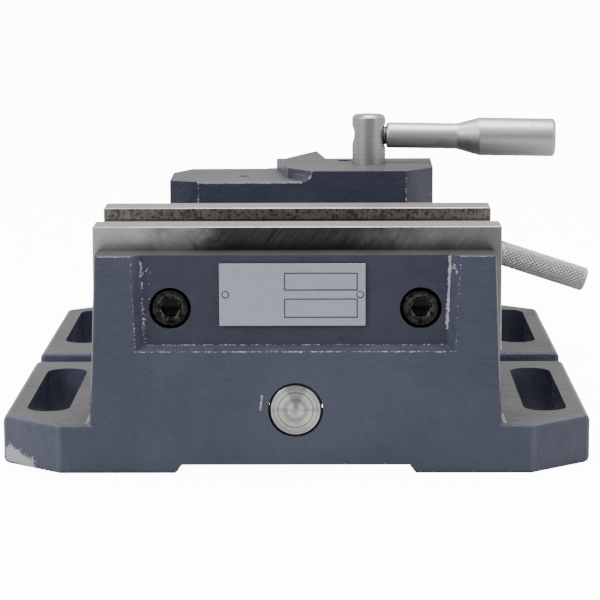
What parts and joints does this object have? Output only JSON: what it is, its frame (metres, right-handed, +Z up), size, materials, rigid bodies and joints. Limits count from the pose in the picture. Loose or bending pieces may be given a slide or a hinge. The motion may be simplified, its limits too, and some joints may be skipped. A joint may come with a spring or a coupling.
{
  "type": "machine vise",
  "caption": "Quick-action machine vise with smooth jaw plates, a slotted base, a sliding carriage with a locking lever, and a clamping spindle with a knurled handle.",
  "frame": {"origin": "on the underside of the base, midway along it, on the plane of symmetry", "axes": "+X along the jaws to the right, +Y from the fixed jaw towards the spindle's handle, +Z up"},
  "size_m": [0.223, 0.272, 0.1095],
  "materials": {
    "blue_grey_paint": "glossy enamel over cast iron",
    "ground_steel": "ground",
    "bright_steel": "turned, satin",
    "black_oxide": "black oxide",
    "zinc_label": "anodised label",
    "bronze": "machined"
  },
  "bodies": {
    "base": {"base_casting": "blue_grey_paint", "fixed_jaw_plate": "ground_steel", "fixed_jaw_screw_left": "black_oxide", "fixed_jaw_screw_right": "black_oxide", "nameplate": "zinc_label", "nameplate_rivet_left": "bright_steel", "nameplate_rivet_right": "bright_steel", "guide_bar": "bright_steel", "bar_set_screw_front": "black_oxide", "bar_set_screw_rear": "black_oxide"},
    "carriage": {"carriage_casting": "blue_grey_paint", "carriage_bush": "bronze", "carriage_keeper_left": "ground_steel", "carriage_keeper_right": "ground_steel", "carriage_keeper_screw_left": "black_oxide", "carriage_keeper_screw_right": "black_oxide", "spindle_nut": "bronze", "nut_screw_1": "black_oxide", "nut_screw_2": "black_oxide", "nut_screw_3": "black_oxide", "oiler": "black_oxide", "post_stop_screw": "black_oxide", "lock_shoe": "bronze"},
    "movable_jaw": {"movable_jaw_casting": "blue_grey_paint", "movable_jaw_plate": "ground_steel", "movable_jaw_screw_left": "black_oxide", "movable_jaw_screw_right": "black_oxide", "jaw_bush": "bronze", "jaw_keeper_left": "ground_steel", "jaw_keeper_right": "ground_steel", "jaw_keeper_screw_left": "black_oxide", "jaw_keeper_screw_right": "black_oxide", "spindle_retaining_screw": "black_oxide", "thrust_washer": "ground_steel"},
    "spindle": {"clamping_spindle": "bright_steel", "spindle_hub": "bright_steel", "hub_pin": "bright_steel", "knurled_handle": "bright_steel", "handle_grub_screw": "black_oxide"},
    "lock": {"lock_post": "bright_steel", "post_retaining_ring": "black_oxide", "lever_stud": "bright_steel", "lever_handle": "bright_steel"}
  },
  "joints": [
    {"name": "carriage_slide", "type": "slide", "parent": "base", "child": "carriage", "axis": [0, 1, 0], "range_m": [-0.0346, 0.078]},
    {"name": "jaw_feed", "type": "slide", "parent": "carriage", "child": "movable_jaw", "axis": [0, -1, 0], "range_m": [-0.0001, 0.0045]},
    {"name": "spindle_turn", "type": "hinge", "parent": "movable_jaw", "child": "spindle", "pos_m": [0, 0.1, 0.0714], "axis": [0, -1, 0], "range_deg": [-3, 200]},
    {"name": "lock_turn", "type": "hinge", "parent": "carriage", "child": "lock", "pos_m": [0.0272, 0.0178, 0.1015], "axis": [0, 0, 1], "range_deg": [-80, 35]}
  ],
  "couplings": [
    {"joint": "jaw_feed", "follows": "spindle_turn", "m_per_rad": 0.0012732}
  ]
}
